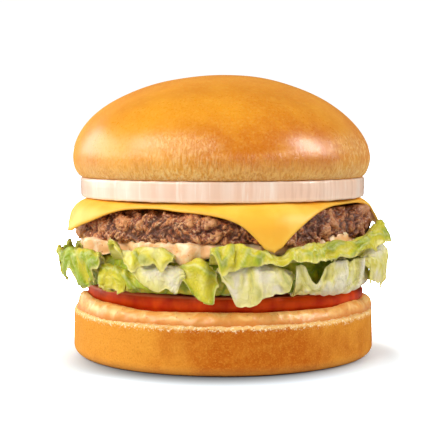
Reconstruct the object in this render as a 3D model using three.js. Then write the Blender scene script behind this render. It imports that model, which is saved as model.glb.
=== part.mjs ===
// A cheeseburger in millimetres, +Z up, standing on z = 0 with its front towards -Y.
// From the bottom: heel of the bun, spread, tomato, lettuce leaves, spread, patty, cheese, onion, crown.
// Bearings run round the stack from the front (-Y) towards +X. Places round the stack are given in degrees.
import * as THREE from "three";

// Driving dimensions.
const BUN_RADIUS = 50.3;
const HEEL_HEIGHT = 15.5;
const LOWER_SPREAD_HEIGHT = 2.8;
const TOMATO_RADIUS = 46;
const TOMATO_HEIGHT = 4.8;
const LETTUCE_HEIGHT = 12.4;
const UPPER_SPREAD_HEIGHT = 2.7;
const PATTY_RADIUS = 49.4;
const PATTY_HEIGHT = 10.8;
const CHEESE_SIDE = 85;
const CHEESE_THICKNESS = 2.2;
const ONION_RADIUS = 48.1;
const ONION_HEIGHT = 6.1;
const CROWN_UNDERSIDE_RADIUS = 46.7;
const CROWN_WAIST_HEIGHT = 6.5; // from the cut face up to the widest ring
const DOME_HEIGHT = 27.4; // from the widest ring up to the top
const DOME_TAPER = 0.045; // share by which the top is narrower than an ellipse
const DOME_LEAN = 0.03; // share by which the top leans to the left
const AIR = 0.35; // left between neighbouring pieces

// The floor of each layer, stacked up from the table.
const lowerSpreadFloor = HEEL_HEIGHT + AIR;
const tomatoFloor = lowerSpreadFloor + LOWER_SPREAD_HEIGHT + AIR;
const lettuceFloor = tomatoFloor + TOMATO_HEIGHT;
const upperSpreadFloor = lettuceFloor + LETTUCE_HEIGHT + AIR;
const pattyFloor = upperSpreadFloor + UPPER_SPREAD_HEIGHT + AIR;
const cheeseFloor = pattyFloor + PATTY_HEIGHT + AIR;
const onionFloor = cheeseFloor + CHEESE_THICKNESS + AIR;
const crownFloor = onionFloor + ONION_HEIGHT + AIR;

const FULL_TURN = 2 * Math.PI;
const QUARTER_TURN = Math.PI / 2;
const radians = THREE.MathUtils.degToRad;
const { clamp, lerp, smoothstep } = THREE.MathUtils;

const COLOURS = {
  crust: { color: 0xdb9236, roughness: 0.45 },
  heelCrust: { color: 0xd98f3c, roughness: 0.6 },
  spread: { color: 0xf0ad70, roughness: 0.35 },
  tomato: { color: 0xc23a1c, roughness: 0.3 },
  lettuce: { color: 0xb7cf4e, roughness: 0.45 },
  patty: { color: 0x7a4a38, roughness: 0.55 },
  cheese: { color: 0xf9b935, roughness: 0.35 },
  onion: { color: 0xf2ddd0, roughness: 0.35 },
};

const burger = new THREE.Group();

function addPiece(name, geometry, colour) {
  const mesh = new THREE.Mesh(geometry, new THREE.MeshStandardMaterial(COLOURS[colour]));
  mesh.name = name;
  burger.add(mesh);
}

/** A sum of waves round the stack; each wave is [whole number of periods, height, phase]. */
function waves(bearing, list) {
  return list.reduce((sum, [count, height, phase]) => sum + height * Math.sin(count * bearing + phase), 0);
}

/** A smooth hump of height 1 at a place in degrees, gone at half a width to either side. */
function hump(bearing, at, width) {
  const away = Math.acos(Math.cos(bearing - radians(at)));
  return 1 - smoothstep(away, 0, radians(width) / 2);
}

/** A turned solid: each point of the profile [radius, height] is moved by shape(bearing, radius, height). */
function turned(profile, segments, shape) {
  const points = profile.map(([radius, height]) => new THREE.Vector2(radius, height));
  const geometry = new THREE.LatheGeometry(points, segments);
  geometry.rotateX(QUARTER_TURN);
  const position = geometry.getAttribute("position");
  for (let i = 0; i < position.count; i++) {
    const radius = Math.hypot(position.getX(i), position.getY(i));
    const bearing = Math.atan2(position.getX(i), -position.getY(i));
    const [newRadius, newHeight] = shape(bearing, radius, position.getZ(i));
    position.setXYZ(i, newRadius * Math.sin(bearing), -newRadius * Math.cos(bearing), newHeight);
  }
  return geometry;
}

/** A turned solid that is out of round by waves which grow from nothing on the axis. */
function turnedUneven(profile, segments, radius, outline) {
  return turned(profile, segments, (bearing, ringRadius, height) => [
    ringRadius * (1 + waves(bearing, outline) / radius),
    height,
  ]);
}

/** Points [radius, height] along part of an ellipse, from one angle to another. */
function arc(centreRadius, centreHeight, acrossRadius, upRadius, from, to, steps) {
  const curve = new THREE.EllipseCurve(centreRadius, centreHeight, acrossRadius, upRadius, from, to);
  return curve.getPoints(steps).map((point) => [Math.max(0, point.x), point.y]);
}

// Heel: the flat lower half of the bun, with a rounded foot and a crisp cut rim.
function heel() {
  const footRadius = 3.2;
  const rimRadius = 0.9;
  const profile = [
    [0, 0],
    ...arc(BUN_RADIUS - footRadius, footRadius, footRadius, footRadius, -QUARTER_TURN, 0, 3),
    ...arc(BUN_RADIUS - rimRadius, HEEL_HEIGHT - rimRadius, rimRadius, rimRadius, 0, QUARTER_TURN, 2),
    [0, HEEL_HEIGHT],
  ];
  return turnedUneven(profile, 48, BUN_RADIUS, [[2, 0.25, 0.8], [3, 0.2, 2.1], [7, 0.1, 0.4]]);
}

// Lower spread: sauce on the heel, pressed out into a lip that climbs the tomato here and there.
function lowerSpread() {
  const edgeRadius = 48.6;
  const lipInner = TOMATO_RADIUS + 1;
  const top = lowerSpreadFloor + LOWER_SPREAD_HEIGHT;
  const profile = [
    [0, lowerSpreadFloor],
    [edgeRadius - 0.7, lowerSpreadFloor],
    [edgeRadius, lowerSpreadFloor + 0.8],
    [edgeRadius - 0.4, top - 0.4],
    [lipInner + 0.5, top],
    [lipInner - 1.3, top],
    [0, top],
  ];
  const outline = [[3, 0.35, 2.6], [5, 0.3, 0.3], [9, 0.28, 1.9]];
  return turned(profile, 56, (bearing, radius, height) => {
    const outside = radius > lipInner ? 1 : 0;
    const raised = outside && height > lowerSpreadFloor + 1 ? 1 : 0;
    const lip = 0.5 + waves(bearing, [[4, 0.25, 1.2], [7, 0.2, 3.3]]);
    const climb = 1.7 * hump(bearing, 66, 34) + 2 * hump(bearing, -78, 64);
    return [radius + outside * waves(bearing, outline), height + raised * (lip + climb)];
  });
}

// Tomato: one wide slice whose skin side bulges a little.
function tomato() {
  const top = tomatoFloor + TOMATO_HEIGHT;
  const profile = [
    [0, tomatoFloor],
    [TOMATO_RADIUS - 0.8, tomatoFloor],
    [TOMATO_RADIUS - 0.1, tomatoFloor + TOMATO_HEIGHT * 0.3],
    [TOMATO_RADIUS - 0.1, tomatoFloor + TOMATO_HEIGHT * 0.7],
    [TOMATO_RADIUS - 0.9, top],
    [0, top],
  ];
  return turnedUneven(profile, 48, TOMATO_RADIUS, [[2, 0.2, 0.5], [5, 0.2, 1]]);
}

// Upper spread: sauce squeezed from under the patty, with a drip at the front and a blob to the left,
// and on the right a lip that climbs the patty's foot.
function upperSpread() {
  const edgeRadius = 48.2;
  const top = upperSpreadFloor + UPPER_SPREAD_HEIGHT;
  const profile = [
    [0, upperSpreadFloor],
    [edgeRadius - 1.6, upperSpreadFloor],
    [edgeRadius, upperSpreadFloor + 0.7],
    [edgeRadius + 0.3, top - 0.6],
    [edgeRadius - 0.3, top],
    [edgeRadius - 1.5, top],
    [0, top],
  ];
  const outline = [[4, 0.3, 1.1], [7, 0.3, 2.9], [11, 0.2, 0.2]];
  return turned(profile, 60, (bearing, radius, height) => {
    const edge = smoothstep(radius, edgeRadius - 3, edgeRadius);
    const isLow = height < upperSpreadFloor + 1;
    const isLip = radius > edgeRadius - 1 && height > top - 0.1;
    const drip = hump(bearing, -13, 13);
    const bulge = waves(bearing, outline) + 1.2 * drip + 1.3 * hump(bearing, -53, 18);
    const lip = 0.45 * hump(bearing, 46, 50);
    return [radius + edge * bulge, height + (isLip ? lip : 0) - (isLow ? 2 * drip * edge : 0)];
  });
}

/** A fixed pseudo-random number from -0.5 to 0.5 for each vertex of a turned solid. */
function grain(bearing, level) {
  const seed = Math.round(1000 * Math.cos(bearing)) * 12.9 + Math.round(1000 * Math.sin(bearing)) * 78.2;
  const noise = 43758.5 * Math.sin(seed + Math.round(10 * level) * 37.7);
  return noise - Math.floor(noise) - 0.5;
}

// Patty: a hand-pressed disc of coarse minced beef, lumps and crags all round its rounded edge.
function patty() {
  const edgeCurve = 6.4;
  const footAcross = 3.6;
  const footUp = 3;
  const flatRadius = PATTY_RADIUS - 12;
  const slip = 0.7; // how far the disc sits to the right of the stack's axis
  const top = pattyFloor + PATTY_HEIGHT;
  const profile = [
    [0, pattyFloor],
    [flatRadius, pattyFloor],
    ...arc(PATTY_RADIUS - footAcross, pattyFloor + footUp, footAcross, footUp, -QUARTER_TURN, 0, 4),
    ...arc(PATTY_RADIUS - edgeCurve, top - edgeCurve, edgeCurve, edgeCurve, 0, QUARTER_TURN, 5).slice(1),
    [flatRadius, top],
    [0, top],
  ];
  return turned(profile, 84, (bearing, radius, height) => {
    const level = height - pattyFloor;
    const edge = smoothstep(radius, flatRadius, PATTY_RADIUS) * smoothstep(level, -1, 3);
    const lumps =
      0.8 * Math.abs(Math.sin(8 * bearing + 0.35 * level)) +
      0.8 * Math.abs(Math.sin(12.5 * bearing - 0.5 * level + 1)) +
      0.9 * grain(bearing, level);
    const room = lerp(1, 0, smoothstep(level, 4.5, 8)); // how far a lump may stand out under the cheese
    const aside = (slip * Math.sin(bearing) * radius) / PATTY_RADIUS;
    return [radius + edge * Math.min(lumps - 1.25, room) + aside, height];
  });
}

const countTo = (count) => Array.from({ length: count }, (_, i) => i);
const evenly = (steps) => countTo(steps + 1).map((i) => i / steps);

/**
 * A closed thin solid on both sides of surface(u, v), with both faces split into triangles alike.
 * A wrapped one is a disc: u runs all the way round it, and v runs from its centre to its rim.
 */
function sheet(columns, rows, thickness, surface, wrapped = false) {
  const step = 1e-3;
  const normalAt = (u, v) => {
    const clear = wrapped ? Math.max(v, 2 * step) : v; // u has no direction at the very centre
    const alongU = surface(u + step, clear).sub(surface(u - step, clear));
    const alongV = surface(u, clear + step).sub(surface(u, clear - step));
    return alongU.cross(alongV).normalize();
  };
  const pointOn = (side, u, v) => surface(u, v).addScaledVector(normalAt(u, v), (side * thickness) / 2);
  const positions = [1, -1].flatMap((side) =>
    rows.flatMap((v) => columns.flatMap((u) => pointOn(side, u, v).toArray())),
  );
  const width = columns.length;
  const lastRow = rows.length - 1;
  const other = width * rows.length; // from a vertex on one face to its twin on the other
  const index = [];
  for (let row = 0; row < lastRow; row++) {
    for (let column = 0; column < width - 1; column++) {
      const a = row * width + column;
      const [b, c, d] = [a + 1, a + width + 1, a + width];
      index.push(a, b, c, a, c, d);
      index.push(other + a, other + c, other + b, other + a, other + d, other + c);
    }
  }
  const rim = countTo(width - 1).map((i) => [lastRow * width + i + 1, lastRow * width + i]);
  if (!wrapped) {
    rim.push(...countTo(width - 1).map((i) => [i, i + 1]));
    rim.push(...countTo(lastRow).map((i) => [(i + 1) * width, i * width]));
    rim.push(...countTo(lastRow).map((i) => [(i + 1) * width - 1, (i + 2) * width - 1]));
  }
  for (const [from, to] of rim) index.push(from, other + from, to, to, other + from, other + to);
  const geometry = new THREE.BufferGeometry();
  geometry.setAttribute("position", new THREE.Float32BufferAttribute(positions, 3));
  geometry.setIndex(index);
  return geometry;
}

// Cheese: a square slice, laid on the patty a little off the middle and bent down past its edge.
const CHEESE_CORNER_BEARING = 16; // of the corner nearest the front
const CHEESE_SLIP = [3.6, 1.3]; // off the axis, towards that corner and towards the corner to its right
const CHEESE_BEND_RADIUS = 7.45; // of the middle of the slice, over the patty's rounded edge
const CHEESE_MELT = { depth: 6, at: -51, width: 60 }; // where the slice has softened and spread downwards
function cheese() {
  const middle = cheeseFloor + CHEESE_THICKNESS / 2;
  const reach = CHEESE_SIDE / Math.SQRT2;
  const trim = 1.7; // off each corner, which is rounded
  const corners = [[reach, 0], [0, reach], [-reach, 0], [0, -reach], [reach, 0]];
  const rimPoint = (u) => {
    const place = 4 * (((u % 1) + 1) % 1);
    const side = Math.floor(place);
    const w = place - side;
    const kept = 1 - (trim / reach) * (1 - smoothstep(Math.min(w, 1 - w), 0, 0.06));
    return [0, 1].map((k) => kept * lerp(corners[side][k], corners[side + 1][k], w));
  };
  const surface = (u, v) => {
    const [ahead, aside] = rimPoint(u).map((out, k) => CHEESE_SLIP[k] + v * out);
    const turn = Math.atan2(aside, ahead);
    const bearing = turn + radians(CHEESE_CORNER_BEARING);
    const melt = CHEESE_MELT.depth * hump(bearing, CHEESE_MELT.at, CHEESE_MELT.width);
    const flat = Math.hypot(ahead, aside) + melt * smoothstep(v, 0.7, 1);
    const lean = radians(70 + 5 * Math.cos(turn) - 10 * Math.sin(turn) + 10 * Math.cos(2 * turn));
    const bendStart = 44.5 - 0.2 * Math.sin(turn);
    const past = Math.max(0, flat - bendStart);
    const bend = Math.min(past / CHEESE_BEND_RADIUS, lean);
    const hanging = past - bend * CHEESE_BEND_RADIUS;
    const bentOut = CHEESE_BEND_RADIUS * Math.sin(bend) + hanging * Math.cos(bend);
    const bentDown = CHEESE_BEND_RADIUS * (1 - Math.cos(bend)) + hanging * Math.sin(bend);
    const radius = Math.min(flat, bendStart) + bentOut;
    return new THREE.Vector3(radius * Math.sin(bearing), -radius * Math.cos(bearing), middle - bentDown);
  };
  const rings = [0, 0.7, 0.76, 0.81, 0.86, 0.91, 0.955, 1];
  return sheet(evenly(48), rings, CHEESE_THICKNESS, surface, true);
}

// Onion: one thick slice across the bulb.
function onion() {
  const top = onionFloor + ONION_HEIGHT;
  const profile = [
    [0, onionFloor],
    [ONION_RADIUS - 0.7, onionFloor],
    [ONION_RADIUS - 0.3, onionFloor + 0.4],
    [ONION_RADIUS, onionFloor + ONION_HEIGHT * 0.6],
    [ONION_RADIUS - 0.5, top],
    [0, top],
  ];
  return turnedUneven(profile, 52, ONION_RADIUS, [[2, 0.2, 2], [3, 0.12, 0.6], [11, 0.1, 1.4]]);
}

// Crown: the domed upper half of the bun, curled in below its widest ring.
function crown() {
  const waist = crownFloor + CROWN_WAIST_HEIGHT;
  const curl = BUN_RADIUS - CROWN_UNDERSIDE_RADIUS;
  const profile = [
    [0, crownFloor],
    ...arc(CROWN_UNDERSIDE_RADIUS, waist, curl, CROWN_WAIST_HEIGHT, -QUARTER_TURN, 0, 4),
    ...arc(0, waist, BUN_RADIUS, DOME_HEIGHT, 0, QUARTER_TURN, 10).slice(1),
  ];
  const outline = [[2, 0.3, 2.4], [3, 0.25, 0.3], [5, 0.1, 1.8]];
  return turned(profile, 56, (bearing, radius, height) => {
    const up = Math.max(0, height - waist) / DOME_HEIGHT;
    const narrowed = 1 - up * (DOME_TAPER + DOME_LEAN * Math.sin(bearing));
    return [radius * (narrowed + waves(bearing, outline) / BUN_RADIUS), height];
  });
}

// Lettuce: torn leaves, one over the other. Each leaf runs nearly flat from the middle of the stack out to a
// shoulder, over a crest, and on to its torn hem, which hangs down, stands out or curls up.
const LEAF_THICKNESS = 0.8;
const LEAF_ROOT_RADIUS = 12;
const LEAF_BED_WAVE = 1; // how far the leaves rise and fall together where they lie in the stack
const LEAF_SAG = 4.6; // how far the upper leaves sink from their shoulder to their root
const SHOULDER_AT = 0.4; // share of a leaf's length that lies in the stack
const LEAF_LEVELS = 4;
const LEAF_TEAR = 0.6; // how far the torn hem rises and falls

// level counts up from 1 at the bottom of the lettuce. bearings are those of the leaf's two sides, at the
// shoulder and at the hem. crest and hem are [radius, height] pairs at even steps across the leaf.
const LEAVES = [
  {
    name: "lettuce_left",
    level: 1.7,
    bearings: [[-104, -50], [-112, -46.5]],
    shoulder: 45,
    ruffle: { count: 5, depth: 1.1, phase: 0.4 },
    crest: [[49, 29.5], [51.2, 30.4], [52.6, 31.8], [53.8, 34.6], [53.8, 37.4], [52.6, 36.6]],
    hem: [[51.6, 30], [53.4, 36.8], [54.8, 35], [55.4, 28], [53.6, 26], [52.6, 29]],
  },
  {
    name: "lettuce_front_left",
    level: 2.5,
    bearings: [[-48.8, -30], [-46, -20]],
    shoulder: 45,
    ruffle: { count: 3, depth: 0.7, phase: 2.2 },
    crest: [[49.5, 32], [51.2, 32.6], [51, 31.5], [50.2, 30.4], [49.2, 30]],
    hem: [[52.3, 29.6], [53.6, 25.2], [51.8, 25.6], [50.6, 27.6], [50.2, 26.2]],
  },
  {
    name: "lettuce_rib",
    level: 2.95,
    bearings: [[-34, -16], [-32, -15]],
    shoulder: 45,
    thickness: 1.3,
    ruffle: { count: 2, depth: 0.2, phase: 0 },
    crest: [[51.4, 32.4], [51.8, 32.1], [51.6, 31.6], [50.3, 30.6]],
    hem: [[52.2, 29.4], [52.2, 28.4], [52, 27.8], [51.1, 26.8]],
  },
  {
    name: "lettuce_centre",
    level: 3.4,
    bearings: [[-19, -4.5], [-13.6, -0.2]],
    shoulder: 45,
    ruffle: { count: 1.5, depth: 0.7, phase: 2.4 },
    crest: [[49.6, 33.1], [51.4, 33.8], [52.2, 35.1], [50.6, 31.4]],
    hem: [[52.8, 28.4], [53.2, 24.4], [53.4, 23.4], [52.9, 23.6]],
  },
  {
    name: "lettuce_pale",
    level: 2.5,
    bearings: [[-3.6, 25], [0.9, 26]],
    shoulder: 45,
    ruffle: { count: 3, depth: 0.6, phase: 0.6 },
    crest: [[50.2, 31.7], [51.4, 33.4], [51.8, 33.8], [51.6, 33.2], [50.7, 31.6], [49.5, 30.3]],
    hem: [[53.3, 24.4], [54, 21.9], [54, 21.9], [53.8, 25], [52.8, 25.8], [51.6, 26]],
  },
  {
    name: "lettuce_upper_left",
    level: 4,
    bearings: [[-47, -17], [-39, -16.5]],
    shoulder: 47,
    ruffle: { count: 3, depth: 0.7, phase: 0.9 },
    crest: [[52, 39.4], [52, 38.4], [52.2, 38], [52.4, 39], [52.4, 39.2], [51.2, 36.6]],
    hem: [[53.8, 43], [54, 36], [54, 32.8], [54.6, 33.4], [54.8, 33.6], [53.4, 34]],
  },
  {
    name: "lettuce_upper_right",
    level: 4,
    bearings: [[-4.8, 104], [-3.2, 104]],
    shoulder: 48.8,
    ruffle: { count: 9, depth: 0.8, phase: 0 },
    crest: [
      [51.8, 39], [51.8, 40.2], [51, 37], [52, 39.8], [52.2, 40], [52.4, 40],
      [52.6, 40.4], [53, 41.2], [53.4, 41.6], [53.4, 41], [51.6, 37.6],
    ],
    hem: [
      [54.4, 31.6], [54.8, 33.6], [55, 35], [55.2, 35], [55.2, 35.2], [55.2, 36.4],
      [55.4, 37.2], [55.8, 37.8], [56, 39.2], [56, 39.4], [53.6, 37],
    ],
  },
  {
    name: "lettuce_right",
    level: 1,
    bearings: [[28, 60], [26.4, 60.5]],
    shoulder: 45,
    ruffle: { count: 3.5, depth: 0.5, phase: 1 },
    notch: { at: 31, width: 9, depth: 5 },
    crest: [[50.6, 25.4], [51.4, 25.1], [51.6, 25], [51.4, 25.2], [50.4, 25.6]],
    hem: [[53, 35], [53.4, 34.8], [53.4, 34.2], [53.2, 35], [51.6, 32]],
  },
  {
    name: "lettuce_right_edge",
    level: 2.8,
    bearings: [[64, 116], [60, 116]],
    shoulder: 45,
    ruffle: { count: 4, depth: 0.8, phase: 0.3 },
    crest: [[51.8, 33], [52.8, 34.1], [53.4, 34.5], [52.6, 33.5], [51.2, 31.9]],
    hem: [[53, 28], [53.8, 25], [54.4, 26.6], [53.6, 27.4], [52.4, 29]],
  },
  {
    name: "lettuce_back_right",
    level: 1,
    bearings: [[104, 150], [108, 152]],
    shoulder: 45,
    ruffle: { count: 4, depth: 0.8, phase: 2 },
    crest: [[49.4, 25.5], [50.2, 25.2], [50.8, 25.2], [49.6, 25.5]],
    hem: [[50, 28.5], [53, 32], [53.6, 31.5], [50, 29]],
  },
  {
    name: "lettuce_back",
    level: 2.8,
    bearings: [[150, 218], [148, 220]],
    shoulder: 45,
    ruffle: { count: 5.5, depth: 0.9, phase: 1.6 },
    crest: [[51, 32.4], [51.5, 32], [52.2, 31.8], [51.8, 32], [51, 32.4]],
    hem: [[53.5, 29.5], [54.6, 24.5], [54, 26.5], [54.8, 23.5], [54.4, 29.5]],
  },
  {
    name: "lettuce_back_left",
    level: 1,
    bearings: [[214, 252], [218, 244]],
    shoulder: 45,
    ruffle: { count: 3, depth: 0.8, phase: 0.2 },
    crest: [[49.4, 25.5], [50.4, 25.2], [50.4, 25.2], [49.4, 25.5]],
    hem: [[50, 28], [53.4, 31.4], [53, 30.6], [50.2, 27.5]],
  },
  {
    name: "lettuce_upper_back_right",
    level: 4,
    bearings: [[109, 180], [109, 182]],
    shoulder: 48,
    ruffle: { count: 6, depth: 0.8, phase: 0.8 },
    crest: [[51, 36], [52, 37], [52.2, 37.4], [51.8, 37], [51, 36]],
    hem: [[53.5, 34.5], [55.4, 34], [55.2, 35.8], [55, 34.2], [53, 34]],
  },
  {
    name: "lettuce_upper_back_left",
    level: 4,
    bearings: [[187, 295], [187, 293]],
    shoulder: 48,
    ruffle: { count: 9, depth: 0.7, phase: 2.2 },
    crest: [
      [51, 36], [51.6, 36.7], [52, 37.2], [52.1, 37.3], [51.6, 36.8],
      [50.5, 36.3], [49.5, 35.2], [49, 35.1], [48.8, 35.3],
    ],
    hem: [
      [53, 34.6], [54.6, 34.1], [55.5, 34.7], [55.4, 35.4], [54.6, 34.4],
      [52.2, 34.8], [50.5, 35.3], [49.8, 35], [49.4, 35.3],
    ],
  },
];

/** The value at t from 0 to 1 on a smooth curve through evenly spaced values. */
function along(values, t) {
  const place = clamp(t, 0, 1) * (values.length - 1);
  const i = Math.min(Math.floor(place), values.length - 2);
  const at = (n) => values[clamp(n, 0, values.length - 1)];
  const w = place - i;
  const [before, from, to, after] = [at(i - 1), at(i), at(i + 1), at(i + 2)];
  const bend = 2 * before - 5 * from + 4 * to - after;
  const twist = 3 * (from - to) + after - before;
  return from + 0.5 * w * (to - before + w * (bend + w * twist));
}

/** The surface of a leaf: u runs across it from side to side, and v from its root to its hem. */
function leafSurface(leaf) {
  const bedHeight = lettuceFloor + (LETTUCE_HEIGHT * (leaf.level - 0.5)) / LEAF_LEVELS;
  const shoulder = [leaf.shoulder, bedHeight];
  const sag = LEAF_SAG * smoothstep(leaf.level, 1, 2.5);
  const [shoulderSides, hemSides] = leaf.bearings;
  const { count, depth, phase } = leaf.ruffle;

  /** Where the leaf is past its shoulder: a parabola through the crest to the hem, ruffled more and more. */
  const overhang = (u, past, bearing) => {
    const [crest, hem] = [leaf.crest, leaf.hem].map((pairs) =>
      [0, 1].map((k) => along(pairs.map((pair) => pair[k]), u)),
    );
    hem[1] += LEAF_TEAR * Math.sin(23 * bearing + 9 * leaf.level);
    if (leaf.notch) hem[1] -= leaf.notch.depth * hump(bearing, leaf.notch.at, leaf.notch.width);
    const pull = crest.map((value, k) => 2 * value - (shoulder[k] + hem[k]) / 2);
    const [out, up] = pull.map(
      (value, k) => (1 - past) ** 2 * shoulder[k] + 2 * past * (1 - past) * value + past ** 2 * hem[k],
    );
    const slope = pull.map((value, k) => (1 - past) * (value - shoulder[k]) + past * (hem[k] - value));
    const wave = Math.sin(FULL_TURN * count * u + phase + 1.5 * past);
    const ruffle = (depth * smoothstep(past, 0.1, 1) * wave) / Math.hypot(...slope);
    return [out - ruffle * slope[1], up + ruffle * slope[0]];
  };

  return (u, v) => {
    const past = clamp((v - SHOULDER_AT) / (1 - SHOULDER_AT), 0, 1); // 0 at the shoulder, 1 at the hem
    const flat = Math.min(v / SHOULDER_AT, 1); // 0 at the root, 1 at the shoulder
    const [first, last] = shoulderSides.map((side, i) => radians(lerp(side, hemSides[i], past)));
    const bearing = lerp(first, last, u);
    const bed = bedHeight + LEAF_BED_WAVE * Math.sin(5 * bearing) * (1 - smoothstep(flat, 0.6, 1));
    const inStack = [lerp(LEAF_ROOT_RADIUS, leaf.shoulder, flat), bed - sag * (1 - flat)];
    const [radius, height] = past > 0 ? overhang(u, past, bearing) : inStack;
    return new THREE.Vector3(radius * Math.sin(bearing), -radius * Math.cos(bearing), height);
  };
}

function leafGeometry(leaf) {
  const degreesPerColumn = 3.5;
  const [first, last] = leaf.bearings[1];
  const columns = evenly(Math.max(6, Math.round((last - first) / degreesPerColumn)));
  const flatRows = evenly(2).map((t) => t * SHOULDER_AT);
  const bentRows = evenly(5).slice(1).map((t) => lerp(SHOULDER_AT, 1, t));
  return sheet(columns, [...flatRows, ...bentRows], leaf.thickness ?? LEAF_THICKNESS, leafSurface(leaf));
}

addPiece("bun_heel", heel(), "heelCrust");
addPiece("spread_lower", lowerSpread(), "spread");
addPiece("tomato_slice", tomato(), "tomato");
for (const leaf of LEAVES) addPiece(leaf.name, leafGeometry(leaf), "lettuce");
addPiece("spread_upper", upperSpread(), "spread");
addPiece("beef_patty", patty(), "patty");
addPiece("cheese_slice", cheese(), "cheese");
addPiece("onion_slice", onion(), "onion");
addPiece("bun_crown", crown(), "crust");

export default burger;
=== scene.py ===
"""The looks of a cheeseburger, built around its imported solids.

Lengths in this script are in millimetres unless they say otherwise, and bearings run round the stack from
the front (-Y) towards +X, in degrees where they are written out.
"""

import math

import bpy
import numpy as np
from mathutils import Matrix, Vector, noise


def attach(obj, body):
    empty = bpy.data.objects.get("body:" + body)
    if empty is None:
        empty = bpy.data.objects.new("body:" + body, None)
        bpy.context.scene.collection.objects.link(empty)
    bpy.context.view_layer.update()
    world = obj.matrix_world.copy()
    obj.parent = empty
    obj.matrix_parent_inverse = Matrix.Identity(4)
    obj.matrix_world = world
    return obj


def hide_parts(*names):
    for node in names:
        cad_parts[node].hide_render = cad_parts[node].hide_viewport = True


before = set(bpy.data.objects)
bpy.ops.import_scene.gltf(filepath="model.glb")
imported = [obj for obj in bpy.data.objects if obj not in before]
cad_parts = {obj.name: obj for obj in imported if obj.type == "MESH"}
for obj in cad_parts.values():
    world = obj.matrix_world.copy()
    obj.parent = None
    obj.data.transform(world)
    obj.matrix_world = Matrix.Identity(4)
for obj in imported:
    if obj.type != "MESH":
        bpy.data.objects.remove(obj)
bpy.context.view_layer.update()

METRES = 0.001

# The photograph's view: where the camera is, in metres, how far it looks down, in degrees, and its lens.
CAMERA_PLACE = (0.00024, -0.435, 0.0743)
CAMERA_DIP = 4.066
SENSOR_WIDTH = 36
FOCAL_LENGTH = 103.1

# How bright the white room looks to the camera, how much light it and its floor give the burger, the
# floor's tint, and how far the floor reaches from its middle to its edges, in metres.
ROOM_SEEN = (1.05, 1.05, 1.05, 1)
ROOM_LIGHT = (0.16, 0.16, 0.16, 1)
FLOOR_LIGHT = (0.55, 0.55, 0.55, 1)
FLOOR_TINT = (0.87, 0.985, 1.09)
FLOOR_HALF = 6.0

# The floor as the camera sees it, by the distance from a centre. Each ring gives two distances and the
# brightness at either. The first lets the floor end in white, the second paints a shadow round the
# burger's foot.
SHADE_CENTRE = (-2, -16, 0)
FLOOR_RINGS = [(56, 120, 1.2, 12), (33, 56, 0.16, 1)]

# Each light: its name, its bearing and elevation in degrees, its distance, width and height in metres, its
# watts, and whether it makes a highlight on the burger or only lights it.
LIGHT_COLOUR = (1, 0.975, 0.93)
LIGHT_AIM = Vector((0, 0, 0.05))
LIGHTS = [
    ("softbox_left", -112, 16, 0.6, 0.5, 0.3, 1.9, True),
    ("window_left", -50, 32, 0.6, 0.5, 0.3, 3.2, True),
    ("softbox_right", 76, 28, 0.7, 0.18, 0.3, 3.15, True),
    ("fill_top", 0, 70, 0.8, 1.0, 1.0, 1.0, False),
    ("fill_front", 4, 6, 0.8, 1.2, 0.8, 1.7, False),
]

# The solids' own dimensions, which the pieces follow, and the gap between the solids, which the pieces
# close so that each layer rests on the one below it.
AIR = 0.35
BUN_RADIUS = 50.3
HEEL_HEIGHT = 15.5
LOWER_SPREAD_FLOOR = 15.85
LOWER_SPREAD_TOP = 18.65
TOMATO_FLOOR = 19.0
TOMATO_TOP = 23.8
TOMATO_RADIUS = 46.0
LETTUCE_FLOOR = 23.8
LETTUCE_HEIGHT = 12.4
UPPER_SPREAD_FLOOR = 36.55
UPPER_SPREAD_TOP = 39.25
PATTY_FLOOR = 39.6
PATTY_TOP = 50.4
PATTY_RADIUS = 49.4
CHEESE_MIDDLE = 51.85
CHEESE_THICKNESS = 2.2
CHEESE_SIDE = 85.0
ONION_FLOOR = 53.3
ONION_TOP = 59.4
ONION_RADIUS = 48.1
CROWN_FLOOR = 59.75
CROWN_WAIST = 66.25
CROWN_UNDERSIDE_RADIUS = 46.7
DOME_HEIGHT = 27.4
DOME_TAPER = 0.045
DOME_LEAN = 0.03

# The radii where the rings of a layer's edge begin, on its underside, and end, on its top.
EDGE_STARTS = 40
EDGE_ENDS = 38

# Where the sauce above the leaves wells up over the patty's foot: its bearing and its width.
SMEAR = (51, 34)

# The colour sockets of Blender's Mix node.
MIX_FIRST, MIX_SECOND, MIX_RESULT = 6, 7, 2


# -------- materials


def srgb(red, green, blue):
    """A screen colour from 0 to 255, as the linear colour that a shader takes."""
    parts = [value / 255 for value in (red, green, blue)]
    return (*[p / 12.92 if p <= 0.04045 else ((p + 0.055) / 1.055) ** 2.4 for p in parts], 1)


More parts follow.
